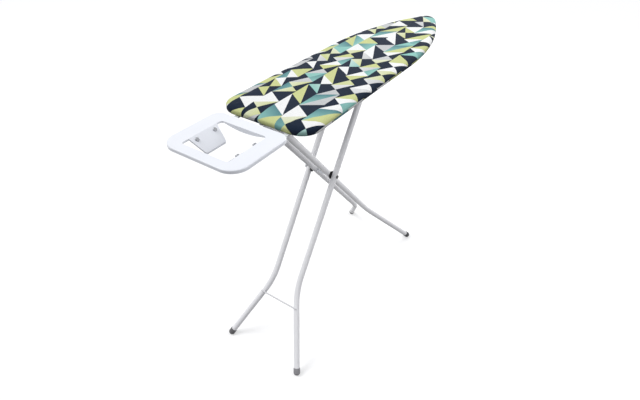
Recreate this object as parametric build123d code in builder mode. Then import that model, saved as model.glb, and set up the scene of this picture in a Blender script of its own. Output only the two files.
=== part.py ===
"""Folding ironing board with a padded top, an iron rest and crossed tube legs.

The frame has +Z up, +X towards the nose and its origin on the floor under the
middle of the whole length. The outer legs carry the height rod, and the inner
legs hang on a pin under the heel.
"""

import os
from math import acos, asin, atan2, cos, degrees, hypot, radians, sin, tan

from build123d import *

os.makedirs("parts", exist_ok=True)

# Board top
WORK_HEIGHT = 906.0
BOARD_LENGTH = 1054.0
BOARD_WIDTH = 300.0
HEEL_RADIUS = 55.0
STRAIGHT_SIDE = 566.0
NOSE_RADIUS = 38.43
COVER_THICKNESS = 1.2
COVER_HEIGHT = 27.0
COVER_TOP_RADIUS = 11.0
COVER_HEM_RADIUS = 5.0
COVER_HEM_WIDTH = 22.0
PAD_THICKNESS = 9.0
PAD_EDGE_FLAT = 0.1
PAD_SIDE_GAP = 1.0
DECK_SIDE_GAP = 1.8
DECK_THICKNESS = 0.8
DECK_HOLE = 16.0
DECK_HOLE_PITCH = 37.0
DECK_HOLE_MARGIN = 20.0
RIM_THICKNESS = 1.5
RIM_HEM_GAP = 1.0

# Iron rest
REST_GAP = 26.0
REST_LENGTH = 199.0
REST_WIDTH = 242.0
REST_DROP = 9.2
REST_SKIRT = 9.5
REST_SHEET = 1.2
REST_OUTER_RADIUS = 46.0
REST_INNER_RADIUS = 30.0
REST_EDGE_RADIUS = 3.0
OPENING_LENGTH = 135.0
OPENING_END_BAR = 28.0
OPENING_RADIUS = 8.0
OPENING_LIP = 5.0
APRON_WIDTH = 126.0
APRON_DROP = 8.0
TONGUE_SHIFT = 3.4
TONGUE_ROOT = 94.0
TONGUE_TIP = 68.0
TONGUE_LENGTH = 52.0
TONGUE_SLOPE = 39.0
TONGUE_CORNER = 6.0
TONGUE_LIP = 4.5
STUD_SPACING = 59.4
STUD_FROM_BEND = 12.0
STUD_DIAMETER = 11.0
STUD_HEIGHT = 4.0
STUD_STEM = 5.0
STUD_RIM = 0.6
STUD_TAIL = 3.0
ARM_WIDTH = 12.0
ARM_THICKNESS = 4.0
ARM_SPACING = 168.0
ARM_LIP_GAP = 2.8
ARM_BEND_RADIUS = 6.0
ARM_HEM_GAP = 1.0
ARM_DECK_LAP = 45.0
ARM_HEM_CLEAR = 12.0
ARM_SKIRT_CLEAR = 4.0
ARM_CRANK = 17.0
ARM_END_GAP = 14.0
BOLT_DIAMETER = 5.0
BOLT_HEAD = 10.0
BOLT_HEAD_HEIGHT = 3.5
BOLT_PITCH = 20.0

# Legs
TUBE_DIAMETER = 20.0
TUBE_WALL = 1.2
TUBE_END = 10.0
LEG_BEND_RADIUS = 280.0
AXLE_FROM_HEEL = 283.0
AXLE_HEIGHT = 577.8
OUTER_LINE_FROM_HEEL = -96.0
OUTER_FOOT_FROM_HEEL = -96.0
OUTER_SPREAD = 309.0
OUTER_BEND_HEIGHT = 228.0
INNER_FOOT_FROM_HEEL = 776.0
INNER_SPACING = 53.2
INNER_SPREAD = 309.0
INNER_BEND_HEIGHT = 230.0
ROD_DROP = 33.0
PIVOT_BELOW_ROD = 18.0
PIVOT_FROM_HEEL = 46.5
BRACE_HEIGHT = 182.0
BRACE_DIAMETER = 5.0
FOOT_WALL = 1.4
FOOT_SHOULDER = 0.5
FOOT_COLLAR = 14.5
FOOT_SEAT = 3.0
FOOT_FLAT = 1.0
FOOT_EDGE = 2.0

# Axle, heel pivot and their small parts
PIN_DIAMETER = 8.0
PIN_HEAD = 13.0
PIN_HEAD_HEIGHT = 3.0
AXLE_HEAD = 12.0
AXLE_HEAD_HEIGHT = 2.5
NUT_ACROSS = 13.0
NUT_HEIGHT = 5.0
AXLE_TAIL = 1.0
SLEEVE_DIAMETER = 13.0
SPACER_DIAMETER = 27.0
SPACER_THICKNESS = 3.3
BRACKET_SHEET = 2.0
BRACKET_LENGTH = 50.0
BRACKET_EAR = 9.0
EAR_GAP = 0.5

# Height rack and release lever
ROD_DIAMETER = 12.0
ROD_OVERHANG = 8.0
CAP_DIAMETER = 16.0
CAP_LAP = 2.0
CAP_WALL = 3.0
RAIL_SHEET = 2.0
RAIL_FLANGE = 14.0
RAIL_AXLE_GAP = 1.5
RAIL_MARGIN = 30.0
RAIL_LEAD = 78.0
RAIL_BELOW_SLOT = 9.0
RAIL_CORNER = 8.0
SLOT_CLEARANCE = 1.0
TRACK_STEPS = 12
NOTCH_PITCH = 36.0
NOTCH_COUNT = 8
NOTCH_RADIUS = 5.0
LEVER_SHEET = 3.0
LEVER_RAIL_GAP = 2.5
LEVER_PIVOT_LEAD = 56.0
LEVER_PIVOT_BELOW_ROD = 12.0
LEVER_EYE = 10.0
LEVER_NOSE = 12.0
LEVER_ROD_GAP = 0.8
LEVER_BAR = 14.0
LEVER_CORNER = 4.0
LEVER_REACH = 140.0
LEVER_PADDLE_LENGTH = 44.0
LEVER_PADDLE_WIDTH = 38.0
LEVER_PIN_DIAMETER = 6.0
LEVER_PIN_HEAD = 11.0
LEVER_PIN_HEAD_HEIGHT = 1.5
GRIP_WALL = 4.0
GRIP_WIDTH = 30.0
GRIP_RADIUS = 3.5
LEAF_THICKNESS = 0.8
LEAF_WIDTH = 8.0
LEAF_FOOT = 22.0
LEAF_REACH = 52.0
LEAF_CURL = 6.0
LEAF_BEND_RADIUS = 4.0

# Clearances
PIN_CLEARANCE = 0.05
SEAT_GAP = 0.1
RUN_GAP = 0.3

# Places worked out from the sizes above
HEEL_X = -(BOARD_LENGTH - REST_GAP - REST_LENGTH) / 2
NOSE_X = HEEL_X + BOARD_LENGTH
TAPER_X = HEEL_X + STRAIGHT_SIDE
SIDE_Y = BOARD_WIDTH / 2
COVER_BOTTOM = WORK_HEIGHT - COVER_HEIGHT
PAD_TOP = WORK_HEIGHT - COVER_THICKNESS
DECK_TOP = PAD_TOP - PAD_THICKNESS
DECK_UNDER = DECK_TOP - DECK_THICKNESS
DECK_INSET = COVER_THICKNESS + DECK_SIDE_GAP
RIM_BOTTOM = COVER_BOTTOM + COVER_THICKNESS + RIM_HEM_GAP
REST_TOP = WORK_HEIGHT - REST_DROP
REST_INNER_X = HEEL_X - REST_GAP
REST_OUTER_X = REST_INNER_X - REST_LENGTH
OPENING_X = REST_OUTER_X + OPENING_END_BAR + OPENING_LENGTH / 2
OPENING_WIDTH = ARM_SPACING - ARM_WIDTH - 2 * (REST_SHEET + ARM_LIP_GAP)
AXLE_X = HEEL_X + AXLE_FROM_HEEL
OUTER_LINE_X = HEEL_X + OUTER_LINE_FROM_HEEL
OUTER_FOOT_X = HEEL_X + OUTER_FOOT_FROM_HEEL
INNER_FOOT_X = HEEL_X + INNER_FOOT_FROM_HEEL
TUBE_RADIUS = TUBE_DIAMETER / 2
FOOT_RADIUS = TUBE_RADIUS + SEAT_GAP + FOOT_WALL
FOOT_DOME = FOOT_RADIUS + FOOT_SHOULDER
INNER_Y = INNER_SPACING / 2
OUTER_Y = INNER_Y + TUBE_DIAMETER + SPACER_THICKNESS + SEAT_GAP + RUN_GAP
ROD_Z = WORK_HEIGHT - ROD_DROP
PIVOT_X = HEEL_X + PIVOT_FROM_HEEL
PIVOT_Z = ROD_Z - PIVOT_BELOW_ROD


def outer_x(height):
    """X of an outer leg's upper centre line at a height."""
    return OUTER_LINE_X + (AXLE_X - OUTER_LINE_X) * height / AXLE_HEIGHT


def inner_x(height):
    """X of an inner leg's upper centre line at a height."""
    return PIVOT_X + (AXLE_X - PIVOT_X) * (PIVOT_Z - height) / (PIVOT_Z - AXLE_HEIGHT)


ROD_X = outer_x(ROD_Z)
OUTER_LEAN = atan2(AXLE_X - OUTER_LINE_X, AXLE_HEIGHT)
INNER_LEAN = atan2(AXLE_X - PIVOT_X, PIVOT_Z - AXLE_HEIGHT)
OUTER_UPPER = hypot(ROD_X - AXLE_X, ROD_Z - AXLE_HEIGHT)
INNER_UPPER = hypot(PIVOT_X - AXLE_X, PIVOT_Z - AXLE_HEIGHT)

# Folding: the inner legs swing level, and the rod ends at its first height
FOLD_TURN = radians(90) - INNER_LEAN
FLAT_LEAN = acos((ROD_Z - PIVOT_Z) / OUTER_UPPER)
FOLD_RATIO = 1 + (FLAT_LEAN - OUTER_LEAN) / FOLD_TURN


def rod_place(share):
    """Point of the height rod, as X and Z, after a share of the whole fold."""
    turn = share * FOLD_TURN
    axle_x = PIVOT_X + INNER_UPPER * sin(INNER_LEAN + turn)
    axle_z = PIVOT_Z - INNER_UPPER * cos(INNER_LEAN + turn)
    lean = OUTER_LEAN + (FOLD_RATIO - 1) * turn
    return axle_x + OUTER_UPPER * sin(lean), axle_z + OUTER_UPPER * cos(lean)


def board_plan(inset):
    """Plan of the board top, drawn in by an inset all round."""
    nose_x = NOSE_X - NOSE_RADIUS
    reach = nose_x - TAPER_X
    taper_radius = (reach**2 + SIDE_Y**2 - NOSE_RADIUS**2) / (2 * (SIDE_Y - NOSE_RADIUS))
    level = taper_radius - SIDE_Y
    taper_turn = degrees(atan2(reach, level))
    with BuildSketch() as plan:
        with BuildLine():
            Line((HEEL_X, 0), (HEEL_X, SIDE_Y - HEEL_RADIUS))
            CenterArc((HEEL_X + HEEL_RADIUS, SIDE_Y - HEEL_RADIUS), HEEL_RADIUS, 90, 90)
            Line((HEEL_X + HEEL_RADIUS, SIDE_Y), (TAPER_X, SIDE_Y))
            CenterArc((TAPER_X, -level), taper_radius, 90 - taper_turn, taper_turn)
            CenterArc((nose_x, 0), NOSE_RADIUS, 0, 90 - taper_turn)
            mirror(about=Plane.XZ)
        make_face()
        if inset:
            offset(amount=-inset)
    return plan.sketch


def rounded_slab(inset, bottom, top, top_radius, bottom_radius):
    """Slab on the board's plan with rounded upper and, if asked, lower edges."""
    with BuildPart() as slab:
        with BuildSketch(Plane.XY.offset(bottom)):
            add(board_plan(inset))
        extrude(amount=top - bottom)
        fillet(slab.edges().group_by(Axis.Z)[-1], radius=top_radius)
        if bottom_radius:
            fillet(slab.edges().group_by(Axis.Z)[0], radius=bottom_radius)
    return slab.part


def finish(piece, name):
    """Name a finished piece and write it."""
    piece.part.label = name
    export_step(piece.part, f"parts/{name}.step")


def cross_cylinder(radius, x, z, start, stop, mode=Mode.ADD):
    """Cylinder along Y between two Y places."""
    with Locations((x, (start + stop) / 2, z)):
        Cylinder(radius, abs(stop - start), rotation=(90, 0, 0), mode=mode)


# Cover: a fitted cloth with a crowned edge and a hem drawn in under the rim
with BuildPart() as cover:
    add(rounded_slab(0, COVER_BOTTOM, WORK_HEIGHT, COVER_TOP_RADIUS, COVER_HEM_RADIUS))
    add(
        rounded_slab(
            COVER_THICKNESS,
            COVER_BOTTOM + COVER_THICKNESS,
            PAD_TOP,
            COVER_TOP_RADIUS - COVER_THICKNESS,
            COVER_HEM_RADIUS - COVER_THICKNESS,
        ),
        mode=Mode.SUBTRACT,
    )
    with BuildSketch(Plane.XY.offset(COVER_BOTTOM)):
        add(board_plan(COVER_HEM_WIDTH))
    extrude(amount=COVER_THICKNESS, mode=Mode.SUBTRACT)
finish(cover, "cover")

# Pad: soft felt under the cover, crowned along its edge
with BuildPart() as pad:
    add(rounded_slab(COVER_THICKNESS + PAD_SIDE_GAP, DECK_TOP, PAD_TOP, PAD_THICKNESS - PAD_EDGE_FLAT, 0))
finish(pad, "pad")

# Deck: pierced sheet that lets steam through
deck_face = board_plan(DECK_INSET + DECK_HOLE_MARGIN)
hole_rows = int(BOARD_WIDTH / DECK_HOLE_PITCH)
hole_columns = int(BOARD_LENGTH / DECK_HOLE_PITCH)
hole_places = []
for row in range(-hole_rows, hole_rows + 1):
    for column in range(-hole_columns, hole_columns + 1):
        place_x = (column + (row % 2) / 2) * DECK_HOLE_PITCH
        place_y = row * DECK_HOLE_PITCH * sin(radians(60))
        if deck_face.face().is_inside((place_x, place_y, 0)):
            hole_places.append((place_x, place_y))
with BuildPart() as deck_sheet:
    with BuildSketch(Plane.XY.offset(DECK_UNDER)):
        add(board_plan(DECK_INSET))
        with Locations(*hole_places):
            Circle(DECK_HOLE / 2, mode=Mode.SUBTRACT)
    extrude(amount=DECK_THICKNESS)
finish(deck_sheet, "deck_sheet")

# Rim: strip on edge under the sheet, all round
with BuildPart() as deck_rim:
    with BuildSketch(Plane.XY.offset(RIM_BOTTOM)):
        add(board_plan(DECK_INSET))
        add(board_plan(DECK_INSET + RIM_THICKNESS), mode=Mode.SUBTRACT)
    extrude(amount=DECK_UNDER - RIM_BOTTOM)
finish(deck_rim, "deck_rim")


def rest_plan(inset):
    """Plan of the iron rest, drawn in by an inset."""
    middle = (REST_OUTER_X + REST_INNER_X) / 2
    with BuildSketch() as plan:
        with Locations((middle, 0)):
            Rectangle(REST_LENGTH, REST_WIDTH)
        fillet(plan.vertices().group_by(Axis.X)[0], REST_OUTER_RADIUS)
        fillet(plan.vertices().group_by(Axis.X)[-1], REST_INNER_RADIUS)
        if inset:
            offset(amount=-inset)
    return plan.sketch


def opening_plan(outset):
    """Plan of the opening in the iron rest, widened by an outset."""
    with BuildSketch() as plan:
        with Locations((OPENING_X, 0)):
            RectangleRounded(OPENING_LENGTH + 2 * outset, OPENING_WIDTH + 2 * outset, OPENING_RADIUS + outset)
    return plan.sketch


def tongue_plane(side):
    """Plane of a tongue's upper face, X along the bend and Y down the slope."""
    slope = radians(TONGUE_SLOPE)
    normal = (0, -side * sin(slope), cos(slope))
    bend = (OPENING_X + TONGUE_SHIFT, side * OPENING_WIDTH / 2, REST_TOP)
    return Plane(origin=bend, x_dir=(side, 0, 0), z_dir=normal)


def tongue_plan(inset):
    """Outline of a tongue on its plane, with its free edges drawn in by an inset."""
    with BuildSketch() as plan:
        with BuildLine():
            Polyline(
                (inset - TONGUE_ROOT / 2, inset),
                (TONGUE_ROOT / 2 - inset, inset),
                (TONGUE_TIP / 2 - inset, inset - TONGUE_LENGTH),
                (inset - TONGUE_TIP / 2, inset - TONGUE_LENGTH),
                close=True,
            )
        make_face()
        fillet(plan.vertices().group_by(Axis.Y)[0], TONGUE_CORNER - inset)
    return plan.sketch


# Iron rest: pressed sheet with a skirt, a lipped opening, a bowed apron and two lipped, sloping tongues
with BuildPart() as iron_rest:
    with BuildSketch(Plane.XY.offset(REST_TOP - REST_SKIRT)):
        add(rest_plan(0))
    extrude(amount=REST_SKIRT)
    fillet(iron_rest.edges().group_by(Axis.Z)[-1], radius=REST_EDGE_RADIUS)
    with BuildSketch(Plane.XY.offset(REST_TOP - REST_SKIRT)):
        add(rest_plan(REST_SHEET))
    extrude(amount=REST_SKIRT - REST_SHEET, mode=Mode.SUBTRACT)
    with BuildSketch(Plane.XY.offset(REST_TOP - OPENING_LIP)):
        add(opening_plan(REST_SHEET))
    extrude(amount=OPENING_LIP)
    with BuildSketch(Plane.XY.offset(REST_TOP - REST_SKIRT)):
        add(opening_plan(0))
    extrude(amount=REST_SKIRT, mode=Mode.SUBTRACT)
    apron_top = REST_TOP - OPENING_LIP
    with BuildSketch(Plane.YZ.offset(OPENING_X + OPENING_LENGTH / 2)):
        with BuildLine():
            ends = Line((-APRON_WIDTH / 2, apron_top), (APRON_WIDTH / 2, apron_top))
            ThreePointArc(ends @ 0, (0, apron_top - APRON_DROP), ends @ 1)
        make_face()
    extrude(amount=REST_SHEET)
    for side in (-1, 1):
        with BuildSketch(tongue_plane(side)):
            add(tongue_plan(0))
            add(tongue_plan(REST_SHEET), mode=Mode.SUBTRACT)
        extrude(amount=TONGUE_LIP, dir=(0, 0, -1))
        with BuildSketch(tongue_plane(side)):
            add(tongue_plan(0))
            with Locations((-STUD_SPACING / 2, -STUD_FROM_BEND), (STUD_SPACING / 2, -STUD_FROM_BEND)):
                Circle(STUD_STEM / 2 + SEAT_GAP, mode=Mode.SUBTRACT)
        extrude(amount=-REST_SHEET)
finish(iron_rest, "iron_rest")

# Studs: round-headed stops pressed into the tongues
with BuildPart() as stud:
    Cylinder(STUD_DIAMETER / 2, STUD_HEIGHT, align=(Align.CENTER, Align.CENTER, Align.MIN))
    fillet(stud.edges().group_by(Axis.Z)[-1], radius=STUD_HEIGHT - STUD_RIM)
    with Locations((0, 0, -STUD_TAIL)):
        Cylinder(STUD_STEM / 2, STUD_TAIL, align=(Align.CENTER, Align.CENTER, Align.MIN))
stud_places = []
for side in (-1, 1):
    for along in (-STUD_SPACING / 2, STUD_SPACING / 2):
        seat = tongue_plane(side).from_local_coords(Vector(along, -STUD_FROM_BEND, 0))
        stud_places.append(Plane(origin=seat, z_dir=tongue_plane(side).z_dir))
with BuildPart() as rest_studs:
    with Locations(*stud_places):
        add(stud.part)
finish(rest_studs, "rest_studs")


def upright(y):
    """Upright plane at a Y place, drawn in X and Z."""
    return Plane.XZ.offset(-y)


# Rest arms: cranked straps from the deck, under the hem, to the iron rest
arm_deck_z = DECK_UNDER - ARM_THICKNESS / 2
arm_low_z = COVER_BOTTOM - ARM_HEM_GAP - ARM_THICKNESS / 2
arm_rest_z = REST_TOP - REST_SHEET - ARM_THICKNESS / 2
arm_hem_x = HEEL_X + COVER_HEM_WIDTH + ARM_HEM_CLEAR
arm_deck_x = arm_hem_x + ARM_CRANK
arm_skirt_x = REST_INNER_X - REST_SHEET - ARM_SKIRT_CLEAR
bolt_places = []
for side, name in ((-1, "near"), (1, "far")):
    arm_y = side * ARM_SPACING / 2
    for step in (-0.5, 0.5):
        bolt_places.append((arm_deck_x + ARM_DECK_LAP / 2 + step * BOLT_PITCH, arm_y))
    with BuildPart() as rest_arm:
        with BuildSketch(upright(arm_y)):
            with BuildLine():
                FilletPolyline(
                    (arm_deck_x + ARM_DECK_LAP, arm_deck_z),
                    (arm_deck_x, arm_deck_z),
                    (arm_hem_x, arm_low_z),
                    (arm_skirt_x, arm_low_z),
                    (arm_skirt_x - ARM_CRANK, arm_rest_z),
                    (REST_OUTER_X + ARM_END_GAP, arm_rest_z),
                    radius=ARM_BEND_RADIUS,
                )
            trace(line_width=ARM_THICKNESS)
        extrude(amount=ARM_WIDTH / 2, both=True)
        with Locations(*[(x, y, arm_deck_z) for x, y in bolt_places[-2:]]):
            Cylinder(BOLT_DIAMETER / 2 + SEAT_GAP, 2 * ARM_THICKNESS, mode=Mode.SUBTRACT)
    finish(rest_arm, f"rest_arm_{name}")

# Bolts: pan heads under the straps, shanks up to the deck's underside
with BuildPart() as rest_bolts:
    with Locations(*[(x, y, DECK_UNDER) for x, y in bolt_places]):
        Cylinder(BOLT_DIAMETER / 2, ARM_THICKNESS, align=(Align.CENTER, Align.CENTER, Align.MAX))
    with Locations(*[(x, y, DECK_UNDER - ARM_THICKNESS) for x, y in bolt_places]):
        Cylinder(BOLT_HEAD / 2, BOLT_HEAD_HEIGHT, align=(Align.CENTER, Align.CENTER, Align.MAX))
    fillet(rest_bolts.edges().group_by(Axis.Z)[0], radius=BOLT_HEAD_HEIGHT / 2)
finish(rest_bolts, "rest_bolts")


def leg_points(x_at, foot_x, half_gap, half_spread, bend_height, top_height, side):
    """Centre-line points of a leg: its top, its bend and where it would meet the floor."""
    top = Vector(x_at(top_height), side * half_gap, top_height)
    bend = Vector(x_at(bend_height), side * half_gap, bend_height)
    floor = Vector(foot_x, side * half_spread, 0)
    return top, bend, floor


def dome_centre(bend, floor):
    """Centre of a foot cap's domed end, set so that the dome just stands on the floor."""
    return floor + (bend - floor) * ((FOOT_DOME - FOOT_FLAT) / bend.Z)


def leg_tube(top, bend, floor):
    """Bent tube from its top to its seat in the foot cap."""
    seat = dome_centre(bend, floor) - (bend - floor).normalized() * FOOT_SEAT
    with BuildPart() as tube:
        with BuildLine() as path:
            FilletPolyline(top, bend, seat, radius=LEG_BEND_RADIUS)
        with BuildSketch(Plane(origin=path.line @ 0, z_dir=path.line % 0)):
            Circle(TUBE_RADIUS)
            Circle(TUBE_RADIUS - TUBE_WALL, mode=Mode.SUBTRACT)
        sweep()
    return tube.part


def foot_cap(bend, floor):
    """Plastic cap on a leg's end, domed below, with a small flat on the floor."""
    along = (bend - floor).normalized()
    across = along.cross(Vector(0, 0, 1)).normalized()
    centre = dome_centre(bend, floor)
    dome_turn = degrees(asin(FOOT_RADIUS / FOOT_DOME))
    with BuildPart() as cap:
        with BuildSketch(Plane(origin=centre, x_dir=across, z_dir=across.cross(along))):
            with BuildLine():
                dome = CenterArc((0, 0), FOOT_DOME, -90, dome_turn)
                Polyline(dome @ 1, (FOOT_RADIUS, FOOT_COLLAR), (0, FOOT_COLLAR), dome @ 0)
            make_face()
        revolve(axis=Axis(centre, along))
        fillet(cap.edges().sort_by(Axis(centre, along))[-1], radius=FOOT_EDGE)
        with BuildSketch(Plane(origin=centre - along * FOOT_SEAT, z_dir=along)):
            Circle(TUBE_RADIUS + SEAT_GAP)
        extrude(amount=FOOT_SEAT + FOOT_COLLAR, mode=Mode.SUBTRACT)
        with Locations((centre.X, centre.Y, 0)):
            under_floor = (Align.CENTER, Align.CENTER, Align.MAX)
            Box(2 * FOOT_DOME, 2 * FOOT_DOME, FOOT_DOME, align=under_floor, mode=Mode.SUBTRACT)
    return cap.part


# Outer legs: on the height rod above and the axle at the crossing
outer_top = ROD_Z + TUBE_END * cos(OUTER_LEAN)
inner_top = PIVOT_Z + TUBE_END * cos(INNER_LEAN)
for side, name in ((-1, "near"), (1, "far")):
    points = leg_points(outer_x, OUTER_FOOT_X, OUTER_Y, OUTER_SPREAD / 2, OUTER_BEND_HEIGHT, outer_top, side)
    inside = side * (OUTER_Y - TUBE_DIAMETER)
    outside = side * (OUTER_Y + TUBE_DIAMETER)
    with BuildPart() as outer_leg:
        add(leg_tube(*points))
        cross_cylinder(ROD_DIAMETER / 2 + SEAT_GAP, ROD_X, ROD_Z, inside, outside, Mode.SUBTRACT)
        cross_cylinder(PIN_DIAMETER / 2 + PIN_CLEARANCE, AXLE_X, AXLE_HEIGHT, inside, outside, Mode.SUBTRACT)
    finish(outer_leg, f"outer_leg_{name}")
    with BuildPart() as outer_foot:
        add(foot_cap(points[1], points[2]))
    finish(outer_foot, f"outer_foot_{name}")

# Inner legs: on the heel pin above and the axle at the crossing
for side, name in ((-1, "near"), (1, "far")):
    points = leg_points(inner_x, INNER_FOOT_X, INNER_Y, INNER_SPREAD / 2, INNER_BEND_HEIGHT, inner_top, side)
    inside = side * (INNER_Y - TUBE_DIAMETER)
    outside = side * (INNER_Y + TUBE_DIAMETER)
    with BuildPart() as inner_leg:
        add(leg_tube(*points))
        cross_cylinder(PIN_DIAMETER / 2 + PIN_CLEARANCE, PIVOT_X, PIVOT_Z, inside, outside, Mode.SUBTRACT)
        cross_cylinder(PIN_DIAMETER / 2 + PIN_CLEARANCE, AXLE_X, AXLE_HEIGHT, inside, outside, Mode.SUBTRACT)
    finish(inner_leg, f"inner_leg_{name}")
    with BuildPart() as inner_foot:
        add(foot_cap(points[1], points[2]))
    finish(inner_foot, f"inner_foot_{name}")

# Brace: wire across the heel side of the outer legs
brace_off = TUBE_RADIUS + BRACE_DIAMETER / 2 + SEAT_GAP
brace_share = (OUTER_BEND_HEIGHT - BRACE_HEIGHT) / OUTER_BEND_HEIGHT
brace_y = OUTER_Y + (OUTER_SPREAD / 2 - OUTER_Y) * brace_share + BRACE_DIAMETER
shin_lean = atan2(outer_x(OUTER_BEND_HEIGHT) - OUTER_FOOT_X, OUTER_BEND_HEIGHT)
brace_x = OUTER_FOOT_X + BRACE_HEIGHT * tan(shin_lean) - brace_off * cos(shin_lean)
with BuildPart() as leg_brace:
    brace_z = BRACE_HEIGHT + brace_off * sin(shin_lean)
    cross_cylinder(BRACE_DIAMETER / 2, brace_x, brace_z, -brace_y, brace_y)
finish(leg_brace, "leg_brace")

# Axle through all four tubes, with its head, nut, discs and sleeve
axle_side = OUTER_Y + TUBE_RADIUS + RUN_GAP
axle_end = axle_side + NUT_HEIGHT + AXLE_TAIL
with BuildPart() as scissor_axle:
    cross_cylinder(PIN_DIAMETER / 2, AXLE_X, AXLE_HEIGHT, -axle_side, axle_end)
    cross_cylinder(AXLE_HEAD / 2, AXLE_X, AXLE_HEIGHT, -axle_side - AXLE_HEAD_HEIGHT, -axle_side)
    fillet(scissor_axle.edges().group_by(Axis.Y)[0], radius=AXLE_HEAD_HEIGHT / 2)
finish(scissor_axle, "scissor_axle")

with BuildPart() as axle_nut:
    with BuildSketch(upright(axle_side)):
        with Locations((AXLE_X, AXLE_HEIGHT)):
            RegularPolygon(NUT_ACROSS / 2, 6, major_radius=False)
            Circle(PIN_DIAMETER / 2 + PIN_CLEARANCE, mode=Mode.SUBTRACT)
    extrude(amount=-NUT_HEIGHT)
finish(axle_nut, "axle_nut")

disc_start = INNER_Y + TUBE_RADIUS + SEAT_GAP
disc_stop = OUTER_Y - TUBE_RADIUS - RUN_GAP
with BuildPart() as axle_spacers:
    for side in (-1, 1):
        cross_cylinder(SPACER_DIAMETER / 2, AXLE_X, AXLE_HEIGHT, side * disc_start, side * disc_stop)
    bore = PIN_DIAMETER / 2 + PIN_CLEARANCE
    cross_cylinder(bore, AXLE_X, AXLE_HEIGHT, -disc_stop, disc_stop, Mode.SUBTRACT)
finish(axle_spacers, "axle_spacers")

sleeve_end = INNER_Y - TUBE_RADIUS - SEAT_GAP
for x, z, name in ((AXLE_X, AXLE_HEIGHT, "axle_sleeve"), (PIVOT_X, PIVOT_Z, "heel_sleeve")):
    with BuildPart() as sleeve:
        cross_cylinder(SLEEVE_DIAMETER / 2, x, z, -sleeve_end, sleeve_end)
        cross_cylinder(PIN_DIAMETER / 2 + PIN_CLEARANCE, x, z, -sleeve_end, sleeve_end, Mode.SUBTRACT)
    finish(sleeve, name)

# Heel bracket: folded sheet under the deck with an ear each side of the inner legs
ear_inside = INNER_Y + TUBE_RADIUS + EAR_GAP
ear_outside = ear_inside + BRACKET_SHEET
with BuildPart() as heel_bracket:
    with Locations((PIVOT_X, 0, DECK_UNDER - BRACKET_SHEET / 2)):
        Box(BRACKET_LENGTH, 2 * ear_outside, BRACKET_SHEET)
    for side in (-1, 1):
        with BuildSketch(upright(side * (ear_inside + ear_outside) / 2)):
            with BuildLine():
                Polyline(
                    (PIVOT_X - BRACKET_LENGTH / 2, DECK_UNDER),
                    (PIVOT_X + BRACKET_LENGTH / 2, DECK_UNDER),
                    (PIVOT_X + BRACKET_EAR, PIVOT_Z),
                    (PIVOT_X - BRACKET_EAR, PIVOT_Z),
                    close=True,
                )
            make_face()
            with Locations((PIVOT_X, PIVOT_Z)):
                Circle(BRACKET_EAR)
                Circle(PIN_DIAMETER / 2 + PIN_CLEARANCE, mode=Mode.SUBTRACT)
        extrude(amount=BRACKET_SHEET / 2, both=True)
finish(heel_bracket, "heel_bracket")

pin_side = ear_outside + SEAT_GAP
with BuildPart() as heel_pin:
    cross_cylinder(PIN_DIAMETER / 2, PIVOT_X, PIVOT_Z, -pin_side, pin_side)
    for side in (-1, 1):
        head_end = side * (pin_side + PIN_HEAD_HEIGHT)
        cross_cylinder(PIN_HEAD / 2, PIVOT_X, PIVOT_Z, side * pin_side, head_end)
    fillet(heel_pin.edges().group_by(Axis.Y)[0], radius=PIN_HEAD_HEIGHT / 2)
    fillet(heel_pin.edges().group_by(Axis.Y)[-1], radius=PIN_HEAD_HEIGHT / 2)
finish(heel_pin, "heel_pin")

# Rack rails: folded strips whose notched slots guide the height rod
rail_inside = axle_end + RAIL_AXLE_GAP
rail_outside = rail_inside + RAIL_SHEET
rail_start = ROD_X - RAIL_LEAD
rail_stop = rod_place(1)[0] + RAIL_MARGIN
slot_height = ROD_DIAMETER + 2 * SLOT_CLEARANCE
rail_bottom = ROD_Z - slot_height / 2 - RAIL_BELOW_SLOT
lever_x = ROD_X - LEVER_PIVOT_LEAD
lever_z = ROD_Z - LEVER_PIVOT_BELOW_ROD
for side, name in ((-1, "near"), (1, "far")):
    with BuildPart() as rack_rail:
        with BuildSketch(upright(side * (rail_inside + rail_outside) / 2)) as web:
            with Locations(((rail_start + rail_stop) / 2, (rail_bottom + DECK_UNDER) / 2)):
                Rectangle(rail_stop - rail_start, DECK_UNDER - rail_bottom)
            fillet(web.vertices().group_by(Axis.Z)[0], RAIL_CORNER)
            with BuildLine(mode=Mode.PRIVATE):
                track = Spline(*[rod_place(step / TRACK_STEPS) for step in range(TRACK_STEPS + 1)])
            trace(track, line_width=slot_height, mode=Mode.SUBTRACT)
            with Locations(track @ 0, track @ 1):
                Circle(slot_height / 2, mode=Mode.SUBTRACT)
            for count in range(NOTCH_COUNT):
                notch = track @ min(1, count * NOTCH_PITCH / track.length)
                with Locations((notch.X, notch.Y + slot_height / 2)):
                    Circle(NOTCH_RADIUS, mode=Mode.SUBTRACT)
            if side < 0:
                with Locations((lever_x, lever_z)):
                    Circle(LEVER_PIN_DIAMETER / 2 + SEAT_GAP, mode=Mode.SUBTRACT)
        extrude(amount=RAIL_SHEET / 2, both=True)
        flange_y = side * (rail_inside + RAIL_FLANGE / 2)
        with Locations(((rail_start + rail_stop) / 2, flange_y, DECK_UNDER - RAIL_SHEET / 2)):
            Box(rail_stop - rail_start, RAIL_FLANGE, RAIL_SHEET)
    finish(rack_rail, f"rack_rail_{name}")

# Height rod across the tops of the outer legs, with a cap on each end
rod_end = rail_outside + ROD_OVERHANG
with BuildPart() as height_rod:
    cross_cylinder(ROD_DIAMETER / 2, ROD_X, ROD_Z, -rod_end, rod_end)
finish(height_rod, "height_rod")

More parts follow.
